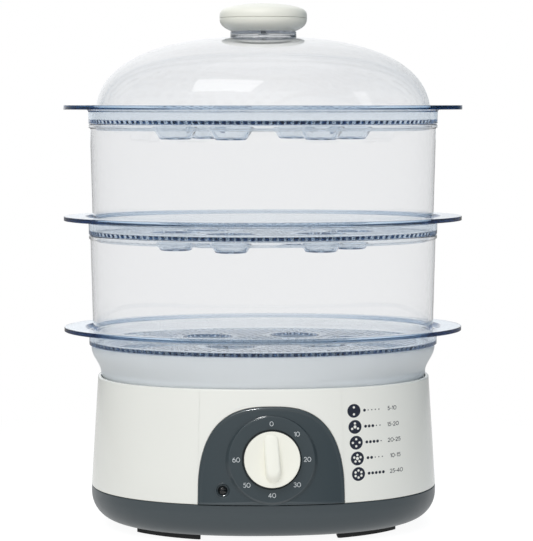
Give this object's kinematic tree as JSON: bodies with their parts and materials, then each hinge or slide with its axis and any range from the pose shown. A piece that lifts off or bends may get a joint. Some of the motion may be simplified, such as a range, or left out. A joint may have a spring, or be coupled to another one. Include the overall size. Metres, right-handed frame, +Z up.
{
  "type": "electric food steamer",
  "caption": "Oval electric food steamer: base with timer dial and lamp, drip tray, stacked clear tiers with egg-cup trays and flanges, and a domed clear lid with a round knob.",
  "frame": {"origin": "centre of the footprint's bounding box, on the surface that the feet stand on", "axes": "+X to the right seen from the dial side, +Y to the back, +Z up"},
  "size_m": [0.3, 0.2354, 0.391],
  "materials": {
    "shell_white": "white ABS, fine satin moulding",
    "housing_grey": "dark grey ABS, satin gloss moulding",
    "panel_grey": "dark grey ABS, gloss moulding with printed scale",
    "clear_bowl": "clear moulded plastic",
    "clear_tray": "clear moulded plastic with a slight blue tint",
    "drip_frosted": "milky translucent polypropylene",
    "tank_white": "white polypropylene",
    "knob_ivory": "ivory ABS, satin moulding",
    "foot_rubber": "black rubber",
    "stainless": "brushed stainless steel",
    "zinc_steel": "zinc-plated pressed steel",
    "movement_plastic": "black nylon moulding",
    "silicone": "silicone rubber",
    "lamp_lens": "clear polycarbonate",
    "lamp_glass": "neon lamp glass"
  },
  "bodies": {
    "base": {"base_screws": "zinc_steel", "control_panel": "panel_grey", "cord_gland": "movement_plastic", "foot_front_left": "foot_rubber", "foot_front_right": "foot_rubber", "foot_rear_left": "foot_rubber", "foot_rear_right": "foot_rubber", "heater_bracket": "zinc_steel", "heater_gasket": "silicone", "heater_screws": "zinc_steel", "heating_element": "stainless", "heating_plate": "stainless", "indicator_lamp": "lamp_glass", "indicator_lens": "lamp_lens", "lower_housing": "housing_grey", "outer_shell": "shell_white", "terminal_block": "movement_plastic", "thermal_fuse": "lamp_glass", "thermostat": "movement_plastic", "timer_bell": "zinc_steel", "timer_case": "movement_plastic", "timer_plate": "zinc_steel", "timer_screws": "zinc_steel", "water_tank": "tank_white"},
    "timer_dial": {"timer_knob": "knob_ivory", "timer_shaft": "stainless"},
    "drip_tray": {"drip_tray": "drip_frosted"},
    "tray_lower": {"steam_tray_lower": "clear_tray"},
    "bowl_lower": {"food_bowl_lower": "clear_bowl"},
    "tray_middle": {"steam_tray_middle": "clear_tray"},
    "bowl_middle": {"food_bowl_middle": "clear_bowl"},
    "tray_upper": {"steam_tray_upper": "clear_tray"},
    "lid": {"lid_dome": "clear_bowl", "lid_knob_base": "knob_ivory", "lid_knob_cap": "knob_ivory", "lid_screw": "zinc_steel"}
  },
  "joints": [
    {"name": "timer_turn", "type": "hinge", "parent": "base", "child": "timer_dial", "pos_m": [0, -0.10106, 0.0625], "axis": [0, 0.9912, -0.1325], "range_deg": [0, 270]},
    {"name": "drip_tray_lift", "type": "slide", "parent": "base", "child": "drip_tray", "axis": [0, 0, 1], "range_m": [0, 0.06]},
    {"name": "tray_lower_lift", "type": "slide", "parent": "drip_tray", "child": "tray_lower", "axis": [0, 0, 1], "range_m": [0, 0.06]},
    {"name": "bowl_lower_lift", "type": "slide", "parent": "tray_lower", "child": "bowl_lower", "axis": [0, 0, 1], "range_m": [0, 0.06]},
    {"name": "tray_middle_lift", "type": "slide", "parent": "bowl_lower", "child": "tray_middle", "axis": [0, 0, 1], "range_m": [0, 0.06]},
    {"name": "bowl_middle_lift", "type": "slide", "parent": "tray_middle", "child": "bowl_middle", "axis": [0, 0, 1], "range_m": [0, 0.06]},
    {"name": "tray_upper_lift", "type": "slide", "parent": "bowl_middle", "child": "tray_upper", "axis": [0, 0, 1], "range_m": [0, 0.06]},
    {"name": "lid_lift", "type": "slide", "parent": "tray_upper", "child": "lid", "axis": [0, 0, 1], "range_m": [0, 0.06]}
  ]
}
